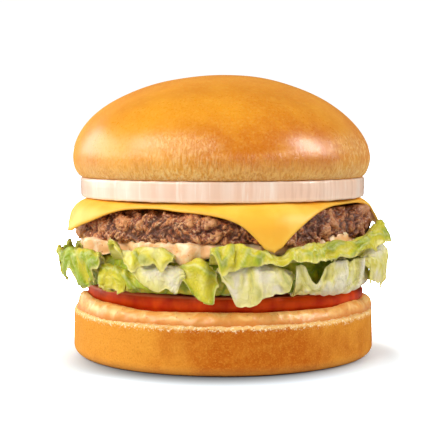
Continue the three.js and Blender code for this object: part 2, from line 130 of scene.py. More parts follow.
class Nodes:
    """A tree of shader nodes, whose methods add nodes and return what comes out of them."""

    def __init__(self, tree):
        self.tree = tree

    def feed(self, socket, value):
        """Gives a socket a value or a link."""
        if isinstance(value, bpy.types.NodeSocket):
            self.tree.links.new(value, socket)
        else:
            socket.default_value = value

    def add(self, kind, inputs, output=0, **settings):
        """Adds a node with these inputs and settings, and returns one of its outputs."""
        node = self.tree.nodes.new("ShaderNode" + kind)
        for key, value in settings.items():
            setattr(node, key, value)
        for key, value in inputs.items():
            self.feed(node.inputs[key], value)
        return node.outputs[output]

    def place(self, stretch=(1, 1, 1)):
        """Where the surface is, in millimetres, with each axis stretched."""
        metres = self.add("TexCoord", {}, "Object")
        scale = [share / METRES for share in stretch]
        return self.add("VectorMath", {0: metres, 1: scale}, operation="MULTIPLY")

    def noise(self, period, detail=3.0, roughness=0.5, stretch=(1, 1, 1), distortion=0.0):
        """Cloudy noise from 0 to 1 with a period in millimetres."""
        inputs = {"Vector": self.place(stretch), "Scale": 1 / period, "Detail": detail}
        return self.add("TexNoise", inputs | {"Roughness": roughness, "Distortion": distortion}, "Fac")

    def cells(self, period):
        """Distance to the nearest of scattered points, in periods."""
        return self.add("TexVoronoi", {"Vector": self.place(), "Scale": 1 / period}, "Distance")

    def axis(self, index):
        """Where the surface is along one axis, in millimetres."""
        return self.add("SeparateXYZ", {0: self.place()}, index)

    def distance(self, centre, stretch=(1, 1, 1)):
        """How far the surface is from a place, in millimetres."""
        return self.add("VectorMath", {0: self.place(stretch), 1: centre}, "Value", operation="DISTANCE")

    def grazing(self):
        """0 where the surface is met head on, and 1 where it is met at a grazing angle."""
        return self.add("LayerWeight", {}, "Facing")

    def attribute(self, name):
        """A value that the mesh carries at each of its points."""
        return self.add("Attribute", {}, "Fac", attribute_name=name)

    def math(self, operation, result, *others):
        """One operation on a value, and then on its result and each further value in turn."""
        for other in others or [0.0]:
            result = self.add("Math", {0: result, 1: other}, operation=operation)
        return result

    def plus(self, *values):
        """The sum of values."""
        return self.math("ADD", *values)

    def times(self, *values):
        """The product of values."""
        return self.math("MULTIPLY", *values)

    def between(self, value, low, high, to_low=0.0, to_high=1.0):
        """A value moved smoothly from one range to another, and held there."""
        inputs = dict(enumerate([value, low, high, to_low, to_high]))
        return self.add("MapRange", inputs, interpolation_type="SMOOTHSTEP")

    def mix(self, share, first, second):
        """The first colour turning into the second as the share goes from 0 to 1."""
        inputs = {0: share, MIX_FIRST: first, MIX_SECOND: second}
        return self.add("Mix", inputs, MIX_RESULT, data_type="RGBA")

    def seen_or_lighting(self, seen, lighting):
        """One colour where the stage itself is seen, and another where it lights the burger."""
        return self.mix(self.add("LightPath", {}, "Is Camera Ray"), lighting, seen)

    def bump(self, height, depth, under=None):
        """A fine relief of a depth in millimetres, on top of another one if that is given."""
        inputs = {"Strength": 1, "Distance": depth * METRES, "Height": height}
        if under is not None:
            inputs["Normal"] = under
        return self.add("Bump", inputs)


class Finish(Nodes):
    """A procedural material, with a value or a link for some of its shader's sockets."""

    def __init__(self, name, **inputs):
        self.material = bpy.data.materials.new(name)
        self.material.use_nodes = True
        super().__init__(self.material.node_tree)
        self.shader = self.tree.nodes["Principled BSDF"]
        for key, value in inputs.items():
            self.set(key.replace("_", " "), value)

    def set(self, socket, value):
        """Gives one socket of the shader a value or a link."""
        self.feed(self.shader.inputs[socket], value)

    def paint(self, colour, *layers):
        """Gives the surface a colour under layers, each of which is a screen colour and its share.

        The share can be a value, low, high, share at low and share at high; these two are else 0 and 1.
        """
        for over, value, *limits in layers:
            share = self.between(value, *limits) if limits else value
            colour = self.mix(share, colour, srgb(*over))
        self.set("Base Color", colour)

    def subsurface(self, weight, radius, scale):
        """Light that soaks in, by a radius for each colour and a scale in millimetres."""
        self.set("Subsurface Weight", weight)
        self.set("Subsurface Radius", radius)
        self.set("Subsurface Scale", scale * METRES)


# -------- camera, floor and light


def new_object(name, data):
    """A new object in the scene."""
    thing = bpy.data.objects.new(name, data)
    bpy.context.collection.objects.link(thing)
    return thing


def add_camera():
    """The photograph's view."""
    lens = bpy.data.cameras.new("camera")
    lens.sensor_width = SENSOR_WIDTH
    lens.lens = FOCAL_LENGTH
    camera = new_object("camera", lens)
    camera.location = CAMERA_PLACE
    camera.rotation_euler = (math.radians(90 - CAMERA_DIP), 0, 0)
    bpy.context.scene.camera = camera


def add_light(name, bearing, elevation, distance, width, height, watts, mirrored):
    """A rectangular light that faces the burger."""
    box = bpy.data.lights.new(name, "AREA")
    box.shape = "RECTANGLE"
    box.size = width
    box.size_y = height
    box.energy = watts
    box.color = LIGHT_COLOUR
    light = new_object(name, box)
    turn, rise = math.radians(bearing), math.radians(elevation)
    out = Vector((math.sin(turn) * math.cos(rise), -math.cos(turn) * math.cos(rise), math.sin(rise)))
    light.location = LIGHT_AIM + distance * out
    light.rotation_euler = (LIGHT_AIM - light.location).to_track_quat("-Z", "Y").to_euler()
    light.visible_glossy = mirrored


def floor_finish():
    """The white floor, as the camera sees it, with a painted shadow round the burger's foot, and as it
    lights the burger.
    """
    paint = Finish("floor_white")
    distance = paint.distance(SHADE_CENTRE)
    brightness = paint.times(*[paint.between(distance, *ring) for ring in FLOOR_RINGS])
    seen = paint.add("VectorMath", {0: FLOOR_TINT, "Scale": brightness}, operation="SCALE")
    diffuse = paint.add("BsdfDiffuse", {"Color": paint.seen_or_lighting(seen, FLOOR_LIGHT)})
    paint.tree.nodes.remove(paint.shader)
    paint.feed(paint.tree.nodes["Material Output"].inputs["Surface"], diffuse)
    return paint


def add_stage():
    """A wide white floor in a white room, and the lights."""
    mesh = bpy.data.meshes.new("floor")
    corners = [(FLOOR_HALF * x, FLOOR_HALF * y, 0) for x, y in [(-1, -1), (1, -1), (1, 1), (-1, 1)]]
    mesh.from_pydata(corners, [], [(0, 1, 2, 3)])
    mesh.materials.append(floor_finish().material)
    floor = new_object("floor", mesh)
    world = bpy.data.worlds.new("white_room")
    world.use_nodes = True
    room = Nodes(world.node_tree)
    background = room.tree.nodes["Background"]
    room.feed(background.inputs["Color"], room.seen_or_lighting(ROOM_SEEN, ROOM_LIGHT))
    bpy.context.scene.world = world
    bpy.context.scene.view_settings.view_transform = "Standard"
    bpy.context.scene.view_settings.look = "None"
    for row in LIGHTS:
        add_light(*row)


# -------- shapes


def smooth(value, low, high):
    """0 below low, 1 above high, and smooth between."""
    share = np.clip((value - low) / (high - low), 0, 1)
    return share * share * (3 - 2 * share)


def waves(bearing, rows):
    """A sum of waves round the stack; each row is (whole number of periods, height, phase)."""
    return sum(height * np.sin(count * bearing + phase) for count, height, phase in rows)


def hump(bearing, at, width):
    """A smooth hump of height 1 at a place in degrees, gone at half a width to either side."""
    away = np.arccos(np.clip(np.cos(bearing - math.radians(at)), -1, 1))
    return 1 - smooth(away, 0, math.radians(width) / 2)


def humps(bearing, rows):
    """A sum of humps round the stack; each row is (place, width, height)."""
    return sum(height * hump(bearing, at, width) for at, width, height in rows)


def sampled(function, points, period, stretch=(1, 1, 1), offset=0.0):
    """A noise function at each of many points, with a period in millimetres."""
    scaled = (points * stretch / period + offset).reshape(-1, 3).tolist()
    return np.array([function(place) for place in scaled]).reshape(points.shape[:-1])


def clouds(points, period, octaves=3, stretch=(1, 1, 1), offset=0.0):
    """Smooth noise from about -1 to 1."""
    return sampled(lambda p: noise.fractal(p, 1.0, 2.0, octaves), points, period, stretch, offset)


def drifts(points, period, octaves, offset):
    """Smooth noise along each axis, which bends what is made from the points it is added to."""
    return np.stack([clouds(points, period, octaves, offset=offset + more) for more in (0, 10, 20)], -1)


def lumps(points, period, octaves, offset):
    """Rounded hills with narrow creases between them, evened out to a spread of about 1."""
    hills = sampled(lambda p: noise.turbulence(p, octaves, True), points, period, offset=offset)
    return np.clip((hills - hills.mean()) / hills.std(), -2.2, 2.2)


def nearest_two(points, period):
    """How far each point is from the nearest and the second nearest of scattered points, in periods."""
    found = np.array([noise.voronoi(place)[0][:2] for place in (points / period).reshape(-1, 3).tolist()])
    return found.T.reshape(2, *points.shape[:-1])


def polar(radius, bearing, height):
    """Points from a radius, a bearing and a height that broadcast together."""
    radius, bearing, height = np.broadcast_arrays(radius, bearing, height)
    return np.stack([radius * np.sin(bearing), -radius * np.cos(bearing), height], -1)


def grid_normals(grid, wrapped):
    """The unit normal at each point of a grid of rows by columns, out of a turned solid's wall."""
    if wrapped:
        padded = np.concatenate([grid[:, -1:], grid, grid[:, :1]], 1)
        along = (padded[:, 2:] - padded[:, :-2]) / 2
    else:
        along = np.gradient(grid, axis=1)
    up = np.gradient(grid, axis=0)
    normal = np.cross(along, up)
    return normal / np.maximum(np.linalg.norm(normal, axis=-1, keepdims=True), 1e-9)


def displaced(grid, height, wrapped=True):
    """A grid moved out along its normals by a height at each point."""
    return grid + grid_normals(grid, wrapped) * height[..., None]


def make_object(name, points, faces, node, finish, attributes):
    """A smooth mesh that rides on the burger's body and replaces a solid of the frame, if one is named."""
    mesh = bpy.data.meshes.new(name)
    mesh.from_pydata((points * METRES).tolist(), [], faces)
    mesh.shade_smooth()
    for key, values in attributes.items():
        layer = mesh.attributes.new(key, "FLOAT", "POINT")
        layer.data.foreach_set("value", np.asarray(values, np.float32).ravel())
    mesh.materials.append(finish.material)
    piece = new_object(name, mesh)
    if node:
        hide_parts(node)
    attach(piece, "root")


def turned_faces(rows, columns):
    """Faces of a solid whose rings run from its underside to its top, closed by a point at either end."""
    last = (rows - 1) * columns
    steps = [(column, (column + 1) % columns) for column in range(columns)]
    faces = []
    for ring in range(0, last, columns):
        faces += [(ring + a, ring + b, ring + columns + b, ring + columns + a) for a, b in steps]
    for a, b in steps:
        faces += [(last + columns, b, a), (last + columns + 1, last + a, last + b)]
    return faces


def make_turned(name, grid, node, slot, finish, **attributes):
    """A closed object from rings of points, from the underside up to the top."""
    ends = np.stack([grid[0].mean(0), grid[-1].mean(0)])
    points = np.concatenate([grid.reshape(-1, 3), ends])
    for key, values in attributes.items():
        attributes[key] = np.concatenate([values.ravel(), [values[0].mean(), values[-1].mean()]])
    make_object(name, points, turned_faces(*grid.shape[:2]), node, finish, attributes)


def sheet_faces(rows, columns):
    """Faces of a thin closed sheet: its upper side, its lower side, and the rim between them."""
    other = rows * columns
    faces = []
    for row in range(rows - 1):
        for column in range(columns - 1):
            a = row * columns + column
            b = other + a
            faces += [(a, a + 1, a + columns + 1, a + columns), (b, b + columns, b + columns + 1, b + 1)]
    rim = [(i + 1, i) for i in range(columns - 1)]
    rim += [((rows - 1) * columns + i, (rows - 1) * columns + i + 1) for i in range(columns - 1)]
    rim += [(i * columns, (i + 1) * columns) for i in range(rows - 1)]
    rim += [((i + 2) * columns - 1, (i + 1) * columns - 1) for i in range(rows - 1)]
    return faces + [(a, other + a, other + b, b) for a, b in rim]


def make_sheet(name, grid, half, node, finish, attributes):
    """A thin closed object, half its thickness on either side of a grid of points."""
    side = grid_normals(grid, False) * half
    points = np.concatenate([(grid + side).reshape(-1, 3), (grid - side).reshape(-1, 3)])
    doubled = {key: np.concatenate([values.ravel()] * 2) for key, values in attributes.items()}
    make_object(name, points, sheet_faces(*grid.shape[:2]), node, finish, doubled)


def round_the_stack(columns):
    """Evenly spaced bearings once round the stack, in radians, as one row."""
    return np.linspace(0, 2 * math.pi, columns, endpoint=False)[None, :]


def arc(centre, across, up, start, end, steps=40):
    """Points [radius, height] on part of an ellipse, between two angles in degrees."""
    turn = np.radians(np.linspace(start, end, steps))
    return np.stack([centre[0] + across * np.cos(turn), centre[1] + up * np.sin(turn)], 1)


def turned_profile(*pieces, spacing, inner):
    """The radii and the heights of a turned solid's rings, from its underside up to its top.

    They stand at an even spacing along the joined pieces of the edge that shows, with a few inner radii
    added where the solid is hidden in the stack.
    """
    line = np.concatenate(pieces)
    keep = np.concatenate([[True], np.linalg.norm(np.diff(line, axis=0), axis=1) > 1e-6])
    line = line[keep]
    length = np.concatenate([[0], np.cumsum(np.linalg.norm(np.diff(line, axis=0), axis=1))])
    steps = np.linspace(0, length[-1], max(4, int(length[-1] / spacing)))
    edge = np.stack([np.interp(steps, length, line[:, k]) for k in (0, 1)], 1)
    floor = [[radius, edge[0][1]] for radius in inner if radius < edge[0][0] - 1]
    lid = [[radius, edge[-1][1]] for radius in reversed(inner) if radius < edge[-1][0] - 1]
    rings = np.array([*floor, *edge, *lid])
    return rings[:, :1], rings[:, 1:]


# -------- bun


def crown_finish():
    """Satin golden crust, paler and finely creased towards the cut edge, with painted highlight streaks on
    its creases.

    It is lighter to the left and darkest round its shoulder, partly from toasting and partly as painted
    light and painted shade.
    """
    crust = Finish("crust_crown", Specular_IOR_Level=0.7)
    height, aside = crust.axis(2), crust.axis(0)
    flecks = crust.noise(0.8, 3, 0.6)
    creases = crust.noise(0.75, 4, 0.7, (1, 1, 0.24), 0.3)
    # Lighter to the left: partly toasting, and partly painted light from the left.
    patches_and_painted_shading = crust.plus(crust.noise(30, 2, 0.5, distortion=0.4), crust.between(aside, -44, -2, -0.2, 0.02))
    # A darker band round the shoulder: partly toasting, and partly painted shade.
    shoulder = crust.times(
        crust.between(height, 61, 67, 0, 0.36),
        crust.between(height, 71, 82, 1, 0),
        crust.between(aside, -22, 0, 0.1, 1),
        crust.between(aside, 24, 40, 1, 0.2),
    )
    pale = crust.times(crust.between(height, 60, 66.5, 1, 0), crust.between(creases, 0.42, 0.56, 0.2, 1))
    # Where the highlights fall, the creases get painted highlight streaks as well as deeper bumps.
    middle = crust.between(crust.math("ABSOLUTE", crust.plus(aside, 12)), 2, 17, 0.7, 0)
    wrinkles_and_glints = crust.math("MAXIMUM", middle, crust.between(aside, 31, 40))
    wrinkles_and_glints = crust.times(wrinkles_and_glints, crust.between(height, 70, 77, 1, 0))
    crust.paint(
        srgb(230, 154, 22),
        ((203, 114, 0), crust.plus(patches_and_painted_shading, shoulder), 0.24, 0.82),
        ((224, 142, 16), height, 76, 92, 0, 0.35),
        ((236, 164, 42), crust.noise(5, 3, 0.6), 0.4, 0.7, 0, 0.3),
        ((255, 202, 114), pale),
        ((255, 216, 140), crust.times(wrinkles_and_glints, crust.between(creases, 0.5, 0.58, 0, 0.6))),
        ((240, 184, 84), flecks, 0.52, 0.66, 0, 0.28),
    )
    satin = crust.between(flecks, 0.35, 0.65, 0.27, 0.35)
    duller = crust.between(crust.grazing(), 0.55, 0.85, 0.27, 0.8)
    crust.set("Roughness", crust.math("MAXIMUM", satin, duller))
    depth = crust.math("MAXIMUM", crust.between(height, 63, 70, 1.6, 0), crust.plus(wrinkles_and_glints, 0.06))
    creased = crust.times(depth, crust.between(height, 75, 82, 1, 0.1), creases)
    crust.set("Normal", crust.bump(creased, 0.55, crust.bump(flecks, 0.03)))
    crust.subsurface(0.06, (1.0, 0.5, 0.2), 2.0)
    return crust


def build_crown():
    """The bun's upper half: a leaning dome on a curled edge, with shallow dents and creases."""
    curl = BUN_RADIUS - CROWN_UNDERSIDE_RADIUS
    floor = CROWN_FLOOR - AIR
    radius, height = turned_profile(
        arc((CROWN_UNDERSIDE_RADIUS, CROWN_WAIST), curl, CROWN_WAIST - floor, -90, 0),
        arc((0, CROWN_WAIST), BUN_RADIUS, DOME_HEIGHT, 0, 88.5, 90)[1:],
        spacing=0.8, inner=(10, 30),
    )
    bearing = round_the_stack(420)
    swell = 1 + waves(bearing, [(2, 0.3, 2.4), (3, 0.25, 0.3), (5, 0.1, 1.8)]) / BUN_RADIUS
    up = np.maximum(0, height - CROWN_WAIST) / DOME_HEIGHT
    narrowed = swell - up * (DOME_TAPER + DOME_LEAN * np.sin(bearing))
    grid = polar(radius * narrowed, bearing, height)
    outside = smooth(grid[..., 2], floor, CROWN_FLOOR + 3)
    dents = 0.35 * clouds(grid, 30, 2)
    creases = -0.13 * np.abs(clouds(grid, 2.6, 2, (1, 1, 0.2), 5.0)) * (1 - smooth(grid[..., 2], 61, 75))
    grid = displaced(grid, (dents + creases) * outside)
    make_turned("crown", grid, "bun_crown", "bun_crown", crown_finish())


def heel_finish():
    """Matt fine-grained crust, with painted shade that leaves it darkest at the front and painted light on
    its sides, and the pale torn crumb of the cut along the rim.
    """
    crust = Finish("crust_heel", Roughness=0.7, Specular_IOR_Level=0.15)
    height = crust.axis(2)
    grain = crust.noise(0.55, 4, 0.7)
    coarse = crust.noise(2.6, 3, 0.6)
    # Painted shade darkens the middle of the front and painted light brightens the sides, over the toasted
    # patches.
    off_front = crust.math("ABSOLUTE", crust.plus(crust.axis(0), -8))
    patches_and_painted_shading = crust.plus(crust.noise(17, 3, 0.5), crust.between(off_front, 6, 40, 0.16, -0.12))
    wandering = crust.plus(height, crust.times(crust.noise(2.4, 5, 0.75), 3.6))
    flaky = crust.between(crust.noise(0.7, 3, 0.7), 0.54, 0.6)
    crust.paint(
        srgb(228, 152, 48),
        ((193, 98, 2), patches_and_painted_shading, 0.34, 0.66),
        ((226, 148, 44), coarse, 0.4, 0.7, 0, 0.35),
        ((178, 88, 8), grain, 0.34, 0.48, 0.35, 0),
        ((238, 168, 66), grain, 0.5, 0.68, 0, 0.45),
        ((236, 168, 80), height, 0.5, 4, 0.4, 0),
        ((248, 204, 130), wandering, 15.9, 17.0, 0, 0.85),
        ((252, 230, 186), crust.times(flaky, crust.between(wandering, 15.2, 16.4))),
    )
    crust.set("Normal", crust.bump(grain, 0.22, crust.bump(coarse, 0.25)))
    crust.subsurface(0.06, (1.0, 0.5, 0.2), 1.5)
    return crust


def build_heel():
    """The bun's lower half, with torn crumbs along the rim of its cut."""
    foot, rim, wider = 3.2, 0.9, 0.6
    radius, height = turned_profile(
        arc((BUN_RADIUS - foot, foot), foot, foot, -90, 0),
        arc((BUN_RADIUS - rim, HEEL_HEIGHT - rim), rim, rim, 0, 90),
        [[BUN_RADIUS - rim, HEEL_HEIGHT], [BUN_RADIUS - 6, HEEL_HEIGHT]],
        spacing=0.42, inner=(8, 24, 38),
    )
    bearing = round_the_stack(540)
    swell = 1 + (wider + waves(bearing, [(2, 0.25, 0.8), (3, 0.2, 2.1), (7, 0.1, 0.4)])) / BUN_RADIUS
    grid = polar(radius * swell, bearing, height)
    height = grid[..., 2]
    radius = np.hypot(grid[..., 0], grid[..., 1])
    rim_band = smooth(height, HEEL_HEIGHT - 1.8, HEEL_HEIGHT - 0.3) * smooth(radius, 43, 46)
    crumb = 0.42 * clouds(grid, 1.7, 3, offset=3.0) * rim_band
    dents = 0.2 * clouds(grid, 16, 2) * smooth(height, 0.3, 3)
    grid = displaced(grid, np.where(radius > 46, dents, 0) + crumb)
    grid[..., 2] = np.clip(grid[..., 2], 0, LOWER_SPREAD_FLOOR)
    make_turned("heel", grid, "bun_heel", "bun_heel", heel_finish())


# -------- sauce, tomato, onion


def sauce_finish():
    """Creamy, wet sauce, peach on the heel and paler above the leaves, with darker specks of spice and
    painted shade along the foot of the sauce on the heel.
    """
    sauce = Finish("sauce", Roughness=0.4, Coat_Weight=0.1, Coat_Roughness=0.2)
    height = sauce.axis(2)
    clouded = sauce.between(sauce.noise(5, 4, 0.6, distortion=0.8), 0.4, 0.6)
    lower = sauce.mix(clouded, srgb(250, 196, 116), srgb(236, 164, 80))
    upper = sauce.mix(clouded, srgb(255, 224, 184), srgb(246, 190, 130))
    sauce.paint(
        sauce.mix(sauce.between(height, 28, 32), lower, upper),
        # Painted shade along the foot of the sauce on the heel.
        ((208, 126, 46), height, HEEL_HEIGHT, HEEL_HEIGHT + 2.6, 0.85, 0),
        ((206, 120, 66), sauce.cells(1.9), 0.1, 0.17, 0.7, 0),
    )
    sauce.set("Normal", sauce.bump(sauce.noise(1.6, 3, 0.55), 0.12))
    sauce.subsurface(0.25, (1.0, 0.55, 0.3), 2.5)
    return sauce


def build_lower_spread(finish):
    """The sauce on the heel, pressed out into a folded lip that climbs the tomato here and there."""
    slope, lip_inner = 3.0, TOMATO_RADIUS + 0.6
    floor, top = LOWER_SPREAD_FLOOR - AIR, LOWER_SPREAD_TOP
    radius, height = turned_profile(
        [[EDGE_STARTS, floor], [lip_inner + slope - 0.6, floor]],
        arc((lip_inner, floor + 0.3), slope, top - floor - 0.3, -6, 90),
        [[lip_inner - 1, top], [EDGE_ENDS, top]],
        spacing=0.4, inner=(12,),
    )
    bearing = round_the_stack(480)
    outside = smooth(radius, lip_inner - 0.8, lip_inner + 1.2)
    raised = smooth(radius, lip_inner - 1.2, lip_inner) * smooth(height, floor + 0.2, top)
    lip = 0.5 + waves(bearing, [(4, 0.25, 1.2), (7, 0.2, 3.3)])
    climb = humps(bearing, [(62, 30, 1.0), (-78, 64, 2.0), (-46, 40, 1.3)])
    out = outside * (waves(bearing, [(3, 0.4, 2.6), (5, 0.35, 0.3), (9, 0.3, 1.9), (17, 0.2, 0.7)]) - 0.1)
    tucked = 0.9 * outside * (1 - smooth(height, floor, floor + 1))
    grid = polar(radius + out, bearing, height + raised * (lip + climb) - tucked)
    folds = 0.6 * clouds(grid, 7, 2, offset=9.0) + 0.3 * clouds(grid, 2.4, 2, offset=4.0)
    grid = displaced(grid, outside * folds)
    grid[..., 2] = np.maximum(grid[..., 2], floor - 1)
    make_turned("sauce_below", grid, "spread_lower", "sauce", finish)


def build_upper_spread(finish):
    """The sauce under the patty: a drip at the front, a blob to the left, and a smear to the right."""
    edge_radius = 48.4
    floor, top = UPPER_SPREAD_FLOOR, UPPER_SPREAD_TOP + AIR
    radius, height = turned_profile(
        [[EDGE_STARTS, floor], [edge_radius - 1.3, floor]],
        arc((edge_radius - 1.2, (floor + top) / 2), 1.4, (top - floor) / 2, -90, 90),
        [[EDGE_ENDS, top]],
        spacing=0.4, inner=(12,),
    )
    bearing = round_the_stack(480)
    outside = smooth(radius, edge_radius - 3, edge_radius - 0.3)
    low = 1 - smooth(height, floor + 0.3, top - 0.6)
    smear = hump(bearing, *SMEAR)
    drip = hump(bearing, -13, 13)
    runs = 2.0 * hump(bearing, -30, 26)
    bulge = waves(bearing, [(4, 0.5, 1.1), (7, 0.6, 2.9), (11, 0.4, 0.2), (19, 0.3, 1.3)]) - 0.9
    bulge = bulge + 1.5 * drip + 3.4 * hump(bearing, -56, 26) + 2.4 * smear + runs
    sag = 1.2 * np.maximum(0, clouds(polar(48 + 0 * radius, bearing, 0 * height), 10, 2, offset=3.0))
    sag = sag + 1.8 * hump(bearing, -54, 24) + 1.2 * hump(bearing, -18, 34) + 0.7 * runs
    lifted = height + outside * ((1.0 + 2.6 * smear) * (1 - low) - (2 * drip + sag) * low)
    grid = polar(radius + outside * bulge, bearing, lifted)
    folds = clouds(grid, 5, 2, offset=2.0) + 0.5 * clouds(grid, 2.2, 2, offset=7.0)
    grid = displaced(grid, outside * folds)
    grid[..., 2] = np.minimum(grid[..., 2], PATTY_FLOOR + 1.6 + 2.4 * smear)
    make_turned("sauce_above", grid, "spread_upper", "sauce", finish)


def tomato_finish():
    """Wet orange-red skin, darker towards its underside, with a paler rim round the cut above."""
    flesh = Finish("tomato", Roughness=0.42, Specular_IOR_Level=0.12)
    height = flesh.axis(2)
    off_middle = flesh.distance((0, 0, 0), stretch=(1, 1, 0))
    rim = flesh.times(
        flesh.between(height, TOMATO_TOP - 0.8, TOMATO_TOP - 0.2, 0, 0.9),
        flesh.between(off_middle, TOMATO_RADIUS - 2.2, TOMATO_RADIUS - 1.2, 0.3, 1),
    )
    flesh.paint(
        srgb(220, 76, 6),
        ((190, 46, 2), flesh.noise(6, 3, 0.55, (1, 1, 0.5)), 0.35, 0.68),
        ((150, 26, 2), height, TOMATO_FLOOR, TOMATO_FLOOR + 2.6, 0.35, 0),
        ((238, 128, 84), rim),
    )
    flesh.set("Normal", flesh.bump(flesh.noise(2.4, 3), 0.08))
    flesh.subsurface(0.15, (1.0, 0.25, 0.05), 2.0)
    return flesh


def build_tomato():
    """One slice, a little out of round, and thinner to the right than to the left."""
    floor = TOMATO_FLOOR - AIR
    radius, height = turned_profile(
        [[EDGE_STARTS, floor], [TOMATO_RADIUS - 0.9, floor]],
        arc((TOMATO_RADIUS - 1.2, (TOMATO_FLOOR + TOMATO_TOP) / 2), 1.2, 2.3, -76, 76),
        [[TOMATO_RADIUS - 1.0, TOMATO_TOP], [EDGE_ENDS, TOMATO_TOP]],
        spacing=0.35, inner=(12,),
    )
    bearing = round_the_stack(360)
    wider = waves(bearing, [(2, 0.2, 0.5), (5, 0.2, 1)]) + 1.5 * hump(bearing, 84, 120)
    swell = 1 + wider / TOMATO_RADIUS
    wedge = 1 - 0.15 * np.sin(bearing) * radius / TOMATO_RADIUS
    grid = polar(radius * swell, bearing, floor + (height - floor) * wedge)
    make_turned("tomato", grid, "tomato_slice", "tomato", tomato_finish())


def onion_finish():
    """Moist, translucent and pinkish white, with faint upright streaks that are stronger to the right,
    and painted light along its lower edge.
    """
    flesh = Finish("onion", Roughness=0.3, Coat_Weight=0.15, Coat_Roughness=0.12)
    streaks = flesh.noise(1.5, 3, 0.55, (1, 1, 0.04))
    strength = flesh.between(flesh.axis(0), -10, 42, 0.06, 0.36)
    flesh.paint(
        srgb(246, 220, 203),
        ((238, 204, 182), flesh.noise(7, 2, 0.5, (1, 1, 0.05)), 0.38, 0.62),
        ((196, 150, 116), flesh.times(flesh.between(streaks, 0.48, 0.64), strength)),
        ((254, 238, 226), streaks, 0.34, 0.44, 0.5, 0),
        # Painted light along the lower edge.
        ((252, 224, 200), flesh.axis(2), ONION_FLOOR, ONION_FLOOR + 1.4, 0.5, 0),
    )
    flesh.set("Normal", flesh.bump(streaks, 0.1))
    flesh.subsurface(0.4, (1.0, 0.75, 0.65), 3.5)
    return flesh


def build_onion():
    """One thick slice, with faint upright flutes round its side."""
    floor = ONION_FLOOR - AIR
    radius, height = turned_profile(
        [[EDGE_STARTS, floor], [ONION_RADIUS - 0.8, floor]],
        arc((ONION_RADIUS - 0.8, floor + 0.8), 0.6, 0.8, -90, 0),
        [[ONION_RADIUS, ONION_FLOOR + 3.4]],
        arc((ONION_RADIUS - 0.6, ONION_TOP - 0.7), 0.5, 0.7, 10, 90),
        [[EDGE_ENDS, ONION_TOP]],
        spacing=0.4, inner=(12,),
    )
    bearing = round_the_stack(320)
    swell = 1 + (0.2 + waves(bearing, [(2, 0.2, 2), (3, 0.12, 0.6), (11, 0.1, 1.4)])) / ONION_RADIUS
    grid = polar(radius * swell, bearing, height)
    side = smooth(np.hypot(grid[..., 0], grid[..., 1]), 46.5, 47.6)
    flutes = 0.14 * clouds(grid, 3.2, 2, (1, 1, 0.05), 6.0)
    grid = displaced(grid, side * flutes)
    make_turned("onion", grid, "onion_slice", "onion", onion_finish())


# -------- patty


def patty_finish():
    """Coarse grilled beef: brown and rosy strands, pale fat and dark specks, greasy gloss with painted
    highlight specks, painted light on its raised lumps, and painted shade in its hollows and to its right.
    """
    beef = Finish("beef", Specular_IOR_Level=0.6, Coat_Weight=0.12, Coat_Roughness=0.12)
    relief = beef.attribute("relief")
    fine = beef.noise(0.8, 4, 0.7)
    tiny = beef.noise(0.5, 3, 0.7)
    beef.paint(
        srgb(220, 130, 66),
        ((146, 66, 28), beef.noise(6, 4, 0.6, distortion=1.0), 0.38, 0.62),
        ((176, 92, 68), beef.noise(3.4, 3, 0.6, distortion=1.5), 0.52, 0.66, 0, 0.6),
        ((250, 190, 128), beef.noise(1.7, 4, 0.7, distortion=2.0), 0.53, 0.62, 0, 0.85),
        ((64, 26, 14), tiny, 0.36, 0.49, 0.9, 0),
        # Painted highlight specks over the gloss, painted light on the raised lumps, painted shade to the
        # right, and painted shade in the hollows.
        ((255, 214, 172), fine, 0.54, 0.66, 0, 0.9),
        ((240, 172, 108), relief, 0.6, 0.9, 0, 0.6),
        ((112, 48, 22), beef.axis(0), 10, 40, 0, 0.35),
        ((80, 34, 12), relief, 0.16, 0.56, 0.86, 0),
    )
    beef.set("Roughness", beef.between(fine, 0.35, 0.65, 0.5, 0.24))
    beef.set("Normal", beef.bump(fine, 0.55, beef.bump(tiny, 0.25)))
    beef.subsurface(0.08, (1.0, 0.4, 0.25), 1.0)
    return beef


